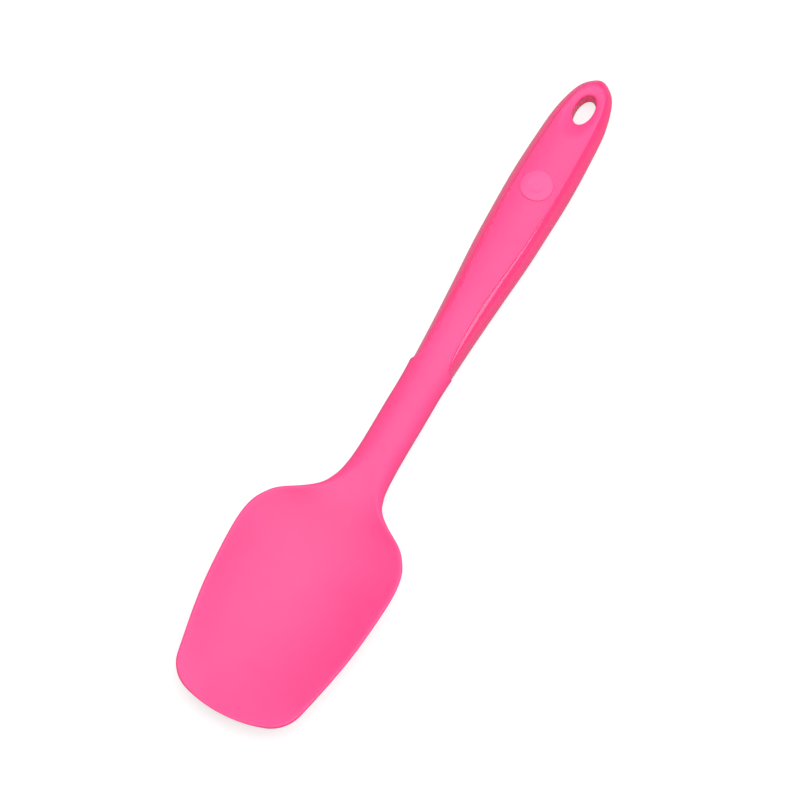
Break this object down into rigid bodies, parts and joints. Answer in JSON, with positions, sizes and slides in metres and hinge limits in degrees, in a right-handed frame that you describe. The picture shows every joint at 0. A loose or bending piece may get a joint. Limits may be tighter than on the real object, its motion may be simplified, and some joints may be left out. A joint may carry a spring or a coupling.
{
  "type": "silicone spatula",
  "caption": "Silicone spatula with a shallow bowl-shaped scraping head, an oval neck and a crowned grip with a hanging hole, a round badge and a rigid core inside.",
  "frame": {"origin": "centre of the bounding box, on the surface that the spatula lies on with its front up", "axes": "+Y from the head towards the hanging end, +Z from the back up to the front face, +X to the right when the front is seen with the hanging end at the top"},
  "size_m": [0.0632, 0.28, 0.0129],
  "materials": {
    "silicone_skin": "satin pink silicone",
    "grip_shell": "glossy pink",
    "core": "matt glass-filled nylon",
    "badge": "matt pink"
  },
  "bodies": {
    "root": {"silicone_skin": "silicone_skin", "grip_shell": "grip_shell", "core": "core", "badge": "badge"}
  },
  "joints": []
}
